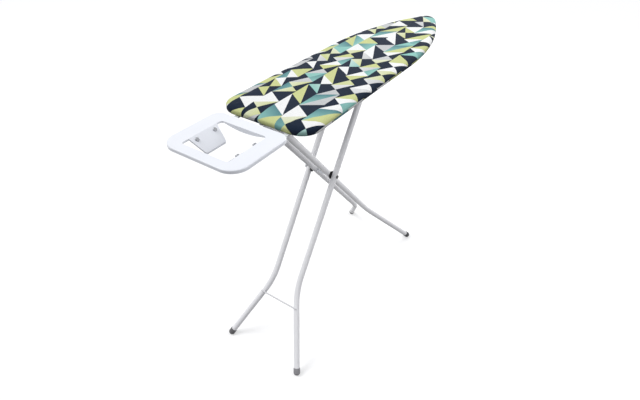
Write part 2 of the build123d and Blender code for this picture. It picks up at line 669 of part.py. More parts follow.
cap_start = rod_end - CAP_LAP
with BuildPart() as rod_caps:
    for side in (-1, 1):
        cross_cylinder(CAP_DIAMETER / 2, ROD_X, ROD_Z, side * cap_start, side * (rod_end + CAP_WALL))
    cross_cylinder(ROD_DIAMETER / 2 + SEAT_GAP, ROD_X, ROD_Z, -rod_end, rod_end, Mode.SUBTRACT)
finish(rod_caps, "rod_caps")

# Release lever: plate on edge beside the near rail, with a nose under the rod
lever_inside = rail_outside + LEVER_RAIL_GAP
lever_outside = lever_inside + LEVER_SHEET
lever_top = ROD_Z - ROD_DIAMETER / 2 - LEVER_ROD_GAP
lever_bottom = lever_top - LEVER_BAR
lever_start = lever_x - LEVER_REACH
lever_stop = ROD_X + LEVER_NOSE
paddle_x = lever_start + LEVER_PADDLE_LENGTH / 2
paddle_end = lever_outside + LEVER_PADDLE_WIDTH
with BuildPart() as release_lever:
    with BuildSketch(upright(-(lever_inside + lever_outside) / 2)) as plate:
        with Locations(((lever_start + lever_stop) / 2, (lever_top + lever_bottom) / 2)):
            RectangleRounded(lever_stop - lever_start, LEVER_BAR, LEVER_CORNER)
        with Locations((lever_x, lever_z)):
            Circle(LEVER_EYE)
            Circle(LEVER_PIN_DIAMETER / 2 + PIN_CLEARANCE, mode=Mode.SUBTRACT)
    extrude(amount=LEVER_SHEET / 2, both=True)
    with Locations((paddle_x, -(lever_inside + paddle_end) / 2, lever_bottom + LEVER_SHEET / 2)):
        Box(LEVER_PADDLE_LENGTH - 2 * LEVER_CORNER, paddle_end - lever_inside, LEVER_SHEET)
finish(release_lever, "release_lever")

# Grip: plastic sleeve over the lever's paddle
grip_end = paddle_end + GRIP_WALL
with BuildPart() as lever_grip:
    with Locations((paddle_x, -(grip_end - GRIP_WIDTH / 2), lever_bottom + LEVER_SHEET / 2)):
        Box(LEVER_PADDLE_LENGTH, GRIP_WIDTH, LEVER_SHEET + 2 * GRIP_WALL)
    fillet(lever_grip.edges(), radius=GRIP_RADIUS)
    with Locations((paddle_x, -paddle_end / 2 - SEAT_GAP, lever_bottom + LEVER_SHEET / 2)):
        Box(
            LEVER_PADDLE_LENGTH - 2 * LEVER_CORNER + 2 * SEAT_GAP,
            paddle_end,
            LEVER_SHEET + 2 * SEAT_GAP,
            mode=Mode.SUBTRACT,
        )
finish(lever_grip, "lever_grip")

# Lever pin: riveted through the near rail, with a shoulder that spaces the lever
with BuildPart() as lever_pin:
    pin_head_in = rail_inside - SEAT_GAP
    pin_head_out = lever_outside + SEAT_GAP
    cross_cylinder(LEVER_PIN_DIAMETER / 2, lever_x, lever_z, -pin_head_in, -pin_head_out)
    for start, stop in (
        (pin_head_in - LEVER_PIN_HEAD_HEIGHT, pin_head_in),
        (rail_outside + SEAT_GAP, lever_inside - SEAT_GAP),
        (pin_head_out, pin_head_out + LEVER_PIN_HEAD_HEIGHT),
    ):
        cross_cylinder(LEVER_PIN_HEAD / 2, lever_x, lever_z, -start, -stop)
finish(lever_pin, "lever_pin")

# Leaf spring: held under the near rail's flange, bearing down on the lever's tail
leaf_z = DECK_UNDER - RAIL_SHEET - LEAF_THICKNESS / 2
leaf_low = lever_top + SEAT_GAP + LEAF_THICKNESS / 2
with BuildPart() as lever_spring:
    with BuildSketch(upright(-(lever_inside + lever_outside) / 2)):
        with BuildLine():
            FilletPolyline(
                (rail_start + LEAF_FOOT, leaf_z),
                (rail_start, leaf_z),
                (rail_start - LEAF_REACH, leaf_low),
                (rail_start - LEAF_REACH - LEAF_CURL, leaf_low + LEAF_CURL / 2),
                radius=LEAF_BEND_RADIUS,
            )
        trace(line_width=LEAF_THICKNESS)
    extrude(amount=LEAF_WIDTH / 2, both=True)
finish(lever_spring, "lever_spring")

print("heel pivot", round(PIVOT_X, 2), PIVOT_Z, "axle", AXLE_X, AXLE_HEIGHT, "rod", round(ROD_X, 2), ROD_Z)
print("fold degrees", round(degrees(FOLD_TURN), 3), "ratio", round(FOLD_RATIO, 5), "flat rod", rod_place(1))
print("lever pivot", round(lever_x, 2), lever_z, "between", -lever_inside, -lever_outside)
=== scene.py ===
"""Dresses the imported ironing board: padded top, iron rest, crossed legs and height rack.

Every length is in metres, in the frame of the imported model: +X runs to the nose,
+Z is up and the origin is on the floor.
"""

import logging
import math
from collections.abc import Iterable
from dataclasses import dataclass
from enum import Enum

import bmesh
import bpy
import numpy as np
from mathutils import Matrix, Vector
from mathutils.bvhtree import BVHTree


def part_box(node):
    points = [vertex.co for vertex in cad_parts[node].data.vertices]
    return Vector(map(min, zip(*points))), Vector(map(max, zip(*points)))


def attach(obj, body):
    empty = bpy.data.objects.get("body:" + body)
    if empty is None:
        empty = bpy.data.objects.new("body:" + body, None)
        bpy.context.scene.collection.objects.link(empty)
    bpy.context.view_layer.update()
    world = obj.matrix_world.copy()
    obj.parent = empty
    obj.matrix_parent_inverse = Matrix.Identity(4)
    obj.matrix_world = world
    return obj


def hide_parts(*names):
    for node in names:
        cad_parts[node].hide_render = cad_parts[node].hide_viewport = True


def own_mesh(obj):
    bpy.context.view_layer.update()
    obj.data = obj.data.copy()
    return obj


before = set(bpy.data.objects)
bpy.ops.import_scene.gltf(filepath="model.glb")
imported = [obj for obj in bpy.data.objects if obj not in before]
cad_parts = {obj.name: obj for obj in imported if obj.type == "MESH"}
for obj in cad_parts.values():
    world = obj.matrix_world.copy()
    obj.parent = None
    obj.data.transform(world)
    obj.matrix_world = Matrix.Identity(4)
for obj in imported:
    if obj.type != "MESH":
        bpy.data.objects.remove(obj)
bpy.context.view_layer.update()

LOG = logging.getLogger("ironing_board")
Colour = tuple[float, float, float, float]
Spot = tuple[float, float, float]
Swelling = tuple[BVHTree, np.ndarray, list[tuple[int, ...]]]


class Body(Enum):
    """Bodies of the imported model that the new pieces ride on."""

    BOARD = "board"
    LEVER = "lever"


class Slot(Enum):
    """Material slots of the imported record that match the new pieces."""

    COVER = "cover_print"
    PAD = "pad_felt"
    SPRING = "spring_steel"
    FOOT = "foot_grey"


def ink(red: int, green: int, blue: int) -> Colour:
    """Turn a display colour into the linear colour of a shader.

    Args:
        red: Red from 0 to 255.
        green: Green from 0 to 255.
        blue: Blue from 0 to 255.

    Returns:
        The linear colour with full alpha.
    """
    linear = []
    for level in (red, green, blue):
        share = level / 255
        linear.append(share / 12.92 if share <= 0.04045 else ((share + 0.055) / 1.055) ** 2.4)
    return (linear[0], linear[1], linear[2], 1.0)


class Value:
    """A number in a shader tree, with arithmetic that adds Math nodes."""

    def __init__(self, tree: "ShaderTree", socket: bpy.types.NodeSocket) -> None:
        """Wrap a socket of a tree."""
        self.tree = tree
        self.socket = socket

    def math(self, operation: str, *others: "Value | float") -> "Value":
        """Add a Math node fed by this value and the others."""
        node = self.tree.add("ShaderNodeMath", {"operation": operation}, dict(enumerate((self, *others))))
        return Value(self.tree, node.outputs[0])

    def turned(self, operation: str, other: "Value | float") -> "Value":
        """Add a Math node with the other value first."""
        node = self.tree.add("ShaderNodeMath", {"operation": operation}, {0: other, 1: self})
        return Value(self.tree, node.outputs[0])

    def __add__(self, other: "Value | float") -> "Value":
        """Sum of two values."""
        return self.math("ADD", other)

    __radd__ = __add__

    def __sub__(self, other: "Value | float") -> "Value":
        """Difference of two values."""
        return self.math("SUBTRACT", other)

    def __rsub__(self, other: "Value | float") -> "Value":
        """Difference with this value taken away."""
        return self.turned("SUBTRACT", other)

    def __mul__(self, other: "Value | float") -> "Value":
        """Product of two values."""
        return self.math("MULTIPLY", other)

    __rmul__ = __mul__

    def __truediv__(self, other: "Value | float") -> "Value":
        """Quotient of two values."""
        return self.math("DIVIDE", other)

    def __gt__(self, other: "Value | float") -> "Value":
        """One where this value is the larger, else zero."""
        return self.math("GREATER_THAN", other)

    def floor(self) -> "Value":
        """Whole part."""
        return self.math("FLOOR")

    def sine(self) -> "Value":
        """Sine."""
        return self.math("SINE")

    def clamped(self) -> "Value":
        """This value held between zero and one."""
        return self.math("MINIMUM", 1.0).math("MAXIMUM", 0.0)


class NodeGraph:
    """A node tree of any kind, filled by one method."""

    def __init__(self, tree: bpy.types.NodeTree) -> None:
        """Take a node tree and empty it."""
        self.tree = tree
        self.tree.nodes.clear()

    def add(self, kind: str, settings: dict | None = None, sockets: dict | None = None) -> bpy.types.Node:
        """Add a node, set it up and feed its sockets.

        Args:
            kind: Blender's name of the node type.
            settings: Attributes to set first; "stops" fills a colour ramp.
            sockets: Values or links for inputs, by name or index.

        Returns:
            The new node.
        """
        node = self.tree.nodes.new(kind)
        for key, setting in (settings or {}).items():
            if key == "stops":
                self.fill_ramp(node.color_ramp, setting)
            else:
                setattr(node, key, setting)
        for key, value in (sockets or {}).items():
            if isinstance(value, Value):
                value = value.socket
            if isinstance(value, bpy.types.NodeSocket):
                self.tree.links.new(value, node.inputs[key])
            else:
                node.inputs[key].default_value = value
        return node

    @staticmethod
    def fill_ramp(ramp: bpy.types.ColorRamp, stops: Iterable[tuple[float, Colour]]) -> None:
        """Give a colour ramp its stops."""
        for index, (place, colour) in enumerate(stops):
            stop = ramp.elements[index] if index < 2 else ramp.elements.new(place)
            stop.position, stop.color = place, colour


class ShaderTree(NodeGraph):
    """A material's node tree."""

    def __init__(self, name: str) -> None:
        """Start a material with only its output node."""
        self.material = bpy.data.materials.new(name)
        self.material.use_nodes = True
        super().__init__(self.material.node_tree)
        self.output = self.add("ShaderNodeOutputMaterial")

    def value(self, node: bpy.types.Node, output: str | int = 0) -> Value:
        """Wrap one output of a node as a number."""
        return Value(self, node.outputs[output])

    def noise(self, scale: float, detail: float = 2.0, roughness: float = 0.5) -> Value:
        """Noise on the piece's own coordinates, around one half.

        Args:
            scale: Cells in a metre.
            detail: Octaves.
            roughness: Strength of the finer octaves.

        Returns:
            The noise value.
        """
        place = self.add("ShaderNodeTexCoord").outputs["Object"]
        sockets = {"Vector": place, "Scale": scale, "Detail": detail, "Roughness": roughness}
        return self.value(self.add("ShaderNodeTexNoise", None, sockets))

    def mix(self, share: Value | float, first: object, second: object,
            blend: str = "MIX") -> bpy.types.NodeSocket:
        """Mix two colours.

        Args:
            share: How much of the second colour shows.
            first: Colour or colour socket.
            second: Colour or colour socket.
            blend: Blend mode.

        Returns:
            The colour socket of the mix.
        """
        settings = {"data_type": "RGBA", "blend_type": blend}
        return self.add("ShaderNodeMix", settings, {0: share, 6: first, 7: second}).outputs[2]

    def bump(self, height: Value, strength: float, distance: float,
             under: object = None) -> bpy.types.NodeSocket:
        """Turn a height into a normal.

        Args:
            height: Height value.
            strength: Strength of the bump.
            distance: Height of a full step, in metres.
            under: Normal socket of a coarser bump below this one.

        Returns:
            The normal socket.
        """
        sockets = {"Height": height, "Strength": strength, "Distance": distance}
        if under is not None:
            sockets["Normal"] = under
        return self.add("ShaderNodeBump", None, sockets).outputs[0]

    def finish(self, sockets: dict) -> bpy.types.Material:
        """Close the tree with a surface shader.

        Args:
            sockets: Values or links of the surface shader, by name.

        Returns:
            The finished material.
        """
        shader = self.add("ShaderNodeBsdfPrincipled", None, sockets)
        self.tree.links.new(shader.outputs[0], self.output.inputs["Surface"])
        return self.material


@dataclass(frozen=True)
class PrintedCotton:
    """Woven cotton with a patchwork of triangles printed on it, and painted shade that darkens it towards
    the hem.
    """

    cell_length: float = 0.078
    cell_width: float = 0.056
    row_start: int = 10
    row_shift: float = 0.047
    column_start: float = 47.7
    even_chance: float = 0.5
    split_limit: float = 0.45
    fade_limit: float = 0.55
    fade_depth: float = 0.5
    warm_grey: float = 0.18
    cold_grey: float = 0.22
    cold_mint: float = 0.36
    rich_mint: float = 0.26
    weave_pitch: float = 0.0011
    weave_depth: float = 0.35
    slub_start: float = 0.42
    slub_depth: float = 0.8
    # Painted shade towards the hem: the drop where it starts, the drop over which it deepens, and how dark
    # it gets.
    painted_shade_start: float = 0.007
    painted_shade_depth: float = 0.020
    painted_hem_shade: float = 0.60

    NAVY = ink(22, 36, 55)
    LIME = ink(213, 219, 152)
    MINT = ink(150, 206, 196)
    TEAL = ink(92, 140, 146)
    GREY = ink(206, 208, 208)
    WHITE = ink(252, 253, 251)

    @staticmethod
    def draws(tree: ShaderTree, *parts: Value) -> tuple[Value, Value]:
        """Draw two random numbers for a place given by up to three numbers."""
        joined = tree.add("ShaderNodeCombineXYZ", None, dict(enumerate(parts)))
        sockets = {"Vector": joined.outputs[0]}
        noise = tree.add("ShaderNodeTexWhiteNoise", {"noise_dimensions": "3D"}, sockets)
        parted = tree.add("ShaderNodeSeparateColor", None, {0: noise.outputs["Color"]})
        return tree.value(parted, 0), tree.value(parted, 1)

    def triangles(self, tree: ShaderTree, along: Value, across: Value) -> bpy.types.NodeSocket:
        """Print the patchwork.

        Args:
            tree: Tree of the material.
            along: Place along the flat cloth, in metres.
            across: Place across the flat cloth, in metres.

        Returns:
            The colour socket of the print.
        """
        rows = (across + self.row_start * self.cell_width + self.row_shift) / self.cell_width
        row = rows.floor()
        rise = rows - row
        start, slant = self.draws(tree, row)
        lean = (slant > self.even_chance) - 0.5
        columns = along / self.cell_length + self.column_start + start + rise * lean
        column = columns.floor()
        run = columns - column
        turn, split = self.draws(tree, column, row)
        flip = turn > self.even_chance
        rising, falling = run - rise > 0.0, run + rise > 1.0
        first = flip * rising + (1 - flip) * falling
        second = (flip * falling + (1 - flip) * rising) * (split > self.split_limit)
        tone, fade = self.draws(tree, column + 0.31 * first, row, second + 2 * first)
        soft = fade > self.fade_limit
        grade = flip * rise + (1 - flip) * run
        warm = self.palette(tree, tone, ((0.0, self.GREY), (self.warm_grey, self.LIME)))
        cold_stops = ((0.0, self.GREY), (self.cold_grey, self.MINT), (self.cold_mint, self.WHITE))
        cold = self.palette(tree, tone, cold_stops)
        pale = tree.mix((column + row).math("FLOORED_MODULO", 2.0), warm, cold)
        pale = tree.mix(soft * grade * self.fade_depth, pale, self.WHITE)
        rich = self.palette(tree, tone, ((0.0, self.MINT), (self.rich_mint, self.NAVY)))
        rich = tree.mix((1 - (tone > self.rich_mint)) * grade, rich, self.TEAL)
        return tree.mix((first - second).math("ABSOLUTE"), pale, rich)

    @staticmethod
    def palette(tree: ShaderTree, tone: Value,
                stops: tuple[tuple[float, Colour], ...]) -> bpy.types.NodeSocket:
        """Pick one of a few inks by a random tone."""
        ramp = tree.add("ShaderNodeValToRGB", {"stops": stops}, {0: tone})
        ramp.color_ramp.interpolation = "CONSTANT"
        return ramp.outputs[0]

    def material(self) -> bpy.types.Material:
        """Build the cloth's material."""
        tree = ShaderTree("printed_cotton")
        cloth = tree.add("ShaderNodeAttribute", {"attribute_name": "cloth"})
        place = tree.add("ShaderNodeSeparateXYZ", None, {0: cloth.outputs["Vector"]})
        along, across = tree.value(place, 0), tree.value(place, 1)
        colour = self.triangles(tree, along, across)
        turn = 2 * math.pi / self.weave_pitch
        weave = (along * turn).sine() * (across * turn).sine()
        slub = tree.noise(420.0, 3.0, 0.6)
        colour = tree.mix(0.5 + self.weave_depth * weave, colour, ink(246, 246, 247), "MULTIPLY")
        worn = (slub - self.slub_start).clamped() * self.slub_depth
        colour = tree.mix(worn, colour, ink(176, 178, 182), "MULTIPLY")
        # Painted shade: the print is darkened towards the hem as the cloth drops down the side, standing in
        # for the shade under the crowned edge.
        turned = ((tree.value(place, 2) - self.painted_shade_start) / self.painted_shade_depth).clamped()
        colour = tree.mix(turned * self.painted_hem_shade, colour, ink(44, 44, 46), "MULTIPLY")
        creases = tree.bump(tree.noise(26.0, 2.0, 0.45), 0.20, 0.0035)
        normal = tree.bump(weave * 0.5 + slub, 0.22, 0.0004, creases)
        roughness = 0.78 + 0.14 * slub
        return tree.finish({"Base Color": colour, "Roughness": roughness, "Normal": normal,
                            "Sheen Weight": 0.04, "Sheen Roughness": 0.5, "Specular IOR Level": 0.12})


@dataclass(frozen=True)
class Felt:
    """Needled felt with short loose fibres."""

    light: Colour = ink(232, 229, 220)
    dark: Colour = ink(196, 192, 182)

    def material(self) -> bpy.types.Material:
        """Build the felt's material."""
        tree = ShaderTree("needled_felt")
        fibre, clump = tree.noise(900.0, 4.0, 0.7), tree.noise(90.0, 3.0, 0.6)
        colour = tree.mix((0.7 * fibre + 0.4 * clump).clamped(), self.dark, self.light)
        normal = tree.bump(fibre + clump, 0.5, 0.0012)
        return tree.finish({"Base Color": colour, "Roughness": 0.95, "Normal": normal, "Sheen Weight": 0.2})


@dataclass(frozen=True)
class PowderCoat:
    """Powder coat, white if not told otherwise, with fine orange peel and a few faint scuffs."""

    name: str
    colour: Colour = ink(243, 246, 252)
    shade: Colour = ink(236, 239, 246)
    scuff: Colour = ink(182, 183, 187)
    scuff_start: float = 0.66
    scuff_slope: float = 9.0
    scuff_depth: float = 0.35

    def material(self) -> bpy.types.Material:
        """Build the coat's material."""
        tree = ShaderTree(self.name)
        peel, cloud, rub = tree.noise(850.0, 2.0), tree.noise(14.0, 2.0), tree.noise(120.0, 5.0, 0.7)
        marks = ((rub - self.scuff_start) * self.scuff_slope).clamped()
        colour = tree.mix((cloud - 0.25).clamped(), self.colour, self.shade)
        colour = tree.mix(marks * self.scuff_depth, colour, self.scuff)
        normal = tree.bump(peel, 0.06, 0.0006)
        roughness = 0.30 + 0.10 * cloud + 0.20 * marks
        return tree.finish({"Base Color": colour, "Roughness": roughness, "Normal": normal,
                            "Coat Roughness": 0.25, "Coat Weight": 0.15})


@dataclass(frozen=True)
class PlatedSteel:
    """Plated or blued steel, drawn along one axis."""

    name: str
    bright: Colour = ink(205, 207, 211)
    dull: Colour = ink(150, 153, 160)
    roughness: float = 0.30
    drawing: Spot = (2400.0, 90.0, 2400.0)

    def material(self) -> bpy.types.Material:
        """Build the plating's material."""
        tree = ShaderTree(self.name)
        place = tree.add("ShaderNodeTexCoord").outputs["Object"]
        drawn = tree.add("ShaderNodeMapping", None, {"Vector": place, "Scale": self.drawing})
        sockets = {"Vector": drawn.outputs[0], "Scale": 1.0}
        streak = tree.value(tree.add("ShaderNodeTexNoise", None, sockets))
        spangle = tree.noise(240.0, 3.0, 0.6)
        colour = tree.mix((0.6 * streak + 0.6 * spangle - 0.1).clamped(), self.dull, self.bright)
        normal = tree.bump(streak, 0.12, 0.0003)
        roughness = self.roughness - 0.08 + 0.22 * spangle
        return tree.finish({"Base Color": colour, "Metallic": 1.0, "Roughness": roughness,
                            "Normal": normal})


@dataclass(frozen=True)
class MouldedPlastic:
    """Moulded plastic with a fine spark grain."""

    name: str
    colour: Colour
    worn: Colour
    roughness: float = 0.52

    def material(self) -> bpy.types.Material:
        """Build the plastic's material."""
        tree = ShaderTree(self.name)
        grain, cloud = tree.noise(1300.0, 3.0, 0.6), tree.noise(70.0, 4.0, 0.65)
        colour = tree.mix(((cloud - 0.42) * 1.8).clamped(), self.colour, self.worn)
        normal = tree.bump(grain, 0.28, 0.0004)
        roughness = self.roughness + 0.18 * (grain - 0.5) + 0.10 * cloud
        return tree.finish({"Base Color": colour, "Roughness": roughness, "Normal": normal,
                            "Specular IOR Level": 0.4})


@dataclass(frozen=True)
class Thread:
    """Twisted sewing thread."""

    colour: Colour = ink(214, 216, 214)
    shade: Colour = ink(150, 152, 156)

    def material(self) -> bpy.types.Material:
        """Build the thread's material."""
        tree = ShaderTree("sewing_thread")
        twist = tree.noise(2600.0, 2.0)
        colour = tree.mix(twist, self.shade, self.colour)
        normal = tree.bump(twist, 0.3, 0.0002)
        return tree.finish({"Base Color": colour, "Roughness": 0.7, "Normal": normal})


class NodeTree(NodeGraph):
    """A Geometry Nodes tree with named inputs."""

    def __init__(self, name: str) -> None:
        """Start a tree that takes and gives geometry."""
        super().__init__(bpy.data.node_groups.new(name, "GeometryNodeTree"))
        self.tree.interface.new_socket("Geometry", in_out="INPUT", socket_type="NodeSocketGeometry")
        self.tree.interface.new_socket("Geometry", in_out="OUTPUT", socket_type="NodeSocketGeometry")
        self.source = self.tree.nodes.new("NodeGroupInput")
        self.values: dict[str, float] = {}

    def size(self, name: str, amount: float) -> bpy.types.NodeSocket:
        """Add a named input and its value.

        Args:
            name: Name of the input.
            amount: Value of the input on the modifier.

        Returns:
            The socket that gives the input inside the tree.
        """
        item = self.tree.interface.new_socket(name, in_out="INPUT", socket_type="NodeSocketFloat")
        self.values[item.identifier] = amount
        return self.source.outputs[name]

    def grow(self, name: str, seed: bpy.types.Object, geometry: bpy.types.NodeSocket,
             material: bpy.types.Material) -> bpy.types.Object:
        """Close the tree, run it on a seed object and keep the result as a plain mesh.

        Args:
            name: Name of the new piece.
            seed: Object that the tree starts from; it is removed.
            geometry: Last geometry socket of the tree.
            material: Material of the result.

        Returns:
            The new piece.
        """
        real = self.add("GeometryNodeRealizeInstances", None, {0: geometry})
        sockets = {"Geometry": real.outputs[0], "Material": material}
        dressed = self.add("GeometryNodeSetMaterial", None, sockets)
        smooth = self.add("GeometryNodeSetShadeSmooth", None, {0: dressed.outputs[0]})
        end = self.tree.nodes.new("NodeGroupOutput")
        self.tree.links.new(smooth.outputs[0], end.inputs[0])
        modifier = seed.modifiers.new("grow", "NODES")
        modifier.node_group = self.tree
        for identifier, amount in self.values.items():
            modifier[identifier] = amount
        depsgraph = bpy.context.evaluated_depsgraph_get()
        mesh = bpy.data.meshes.new_from_object(seed.evaluated_get(depsgraph))
        mesh.name = name
        bpy.data.objects.remove(seed)
        piece = bpy.data.objects.new(name, mesh)
        bpy.context.scene.collection.objects.link(piece)
        return piece


def new_object(name: str, points: np.ndarray, faces: list[tuple[int, ...]],
               edges: list[tuple[int, int]] | None = None) -> bpy.types.Object:
    """Make an object from points and faces.

    Args:
        name: Name of the object and its mesh.
        points: Places of the points.
        faces: Point numbers of each face.
        edges: Loose edges, where there are no faces.

    Returns:
        The object, linked to the scene.
    """
    mesh = bpy.data.meshes.new(name)
    mesh.from_pydata([tuple(point) for point in points], edges or [], faces)
    piece = bpy.data.objects.new(name, mesh)
    bpy.context.scene.collection.objects.link(piece)
    return piece


def weld(piece: bpy.types.Object) -> None:
    """Merge a piece's doubled points, point its faces outwards and shade it smooth."""
    form = bmesh.new()
    form.from_mesh(piece.data)
    bmesh.ops.remove_doubles(form, verts=form.verts, dist=1e-6)
    bmesh.ops.dissolve_degenerate(form, edges=form.edges, dist=1e-7)
    bmesh.ops.recalc_face_normals(form, faces=form.faces)
    for face in form.faces:
        face.smooth = True
    form.to_mesh(piece.data)
    form.free()


def place(piece: bpy.types.Object, body: Body, slot: Slot, material: bpy.types.Material) -> None:
    """Give a new piece its body and material."""
    if not piece.data.materials:
        piece.data.materials.append(material)
    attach(piece, body.value)
    LOG.info("piece %s rides on %s, %d faces", piece.name, body.value, len(piece.data.polygons))


def dress(names: Iterable[str], material: bpy.types.Material) -> None:
    """Give CAD nodes their material."""
    for name in names:
        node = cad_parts[name]
        for slot in node.material_slots:
            slot.material = material
        LOG.info("node %s in %s", name, material.name)


@dataclass(frozen=True)
class BoardPlan:
    """Plan of the board top: straight heel and sides, and a long taper to a round nose."""

    heel_x: float = -0.4145
    nose_x: float = 0.6395
    half_width: float = 0.150
    heel_radius: float = 0.055
    taper_x: float = 0.1515
    nose_radius: float = 0.03843
    step: float = 0.0055

    def half(self) -> tuple[np.ndarray, np.ndarray]:
        """Sample the far half of the outline, from the heel's middle to the nose's tip.

        Returns:
            Points and outward normals, in plan.
        """
        nose_mid = self.nose_x - self.nose_radius
        reach, side = nose_mid - self.taper_x, self.half_width
        taper = (reach**2 + side**2 - self.nose_radius**2) / (2 * (side - self.nose_radius))
        turn = math.atan2(reach, taper - side)
        corner = (self.heel_x + self.heel_radius, side - self.heel_radius)
        right = math.pi / 2
        lines = [((self.heel_x, 0.0), (self.heel_x, corner[1]), (-1.0, 0.0)),
                 ((corner[0], side), (self.taper_x, side), (0.0, 1.0))]
        arcs = [(corner, self.heel_radius, math.pi, right),
                ((self.taper_x, side - taper), taper, right, right - turn),
                ((nose_mid, 0.0), self.nose_radius, right - turn, 0.0)]
        points, normals = [], []
        for kind, item in (("line", lines[0]), ("arc", arcs[0]), ("line", lines[1]), ("arc", arcs[1]),
                           ("arc", arcs[2])):
            if kind == "line":
                start, stop = np.array(item[0]), np.array(item[1])
                count = max(2, round(float(np.linalg.norm(stop - start)) / self.step))
                share = np.linspace(0, 1, count, endpoint=False)[:, None]
                points.append(start + (stop - start) * share)
                normals.append(np.tile(item[2], (count, 1)))
            else:
                middle, radius, begin, end = item
                count = max(8, round(radius * abs(end - begin) / self.step))
                angle = np.linspace(begin, end, count, endpoint=False)
                way = np.stack([np.cos(angle), np.sin(angle)], axis=1)
                points.append(np.array(middle) + radius * way)
                normals.append(way)
        points.append(np.array([[self.nose_x, 0.0]]))
        normals.append(np.array([[1.0, 0.0]]))
        return np.concatenate(points), np.concatenate(normals)

    def loop(self) -> tuple[np.ndarray, np.ndarray, np.ndarray]:
        """Sample the whole outline.

        Returns:
            Points, outward normals and the points of the spine that face them, in plan.
        """
        points, normals = self.half()
        flip = np.array([1.0, -1.0])
        points = np.concatenate([points, points[-2:0:-1] * flip])
        normals = np.concatenate([normals, normals[-2:0:-1] * flip])
        spine = np.zeros_like(points)
        spine[:, 0] = np.clip(points[:, 0], self.heel_x + self.half_width, self.nose_x - self.nose_radius)
        return points, normals, spine


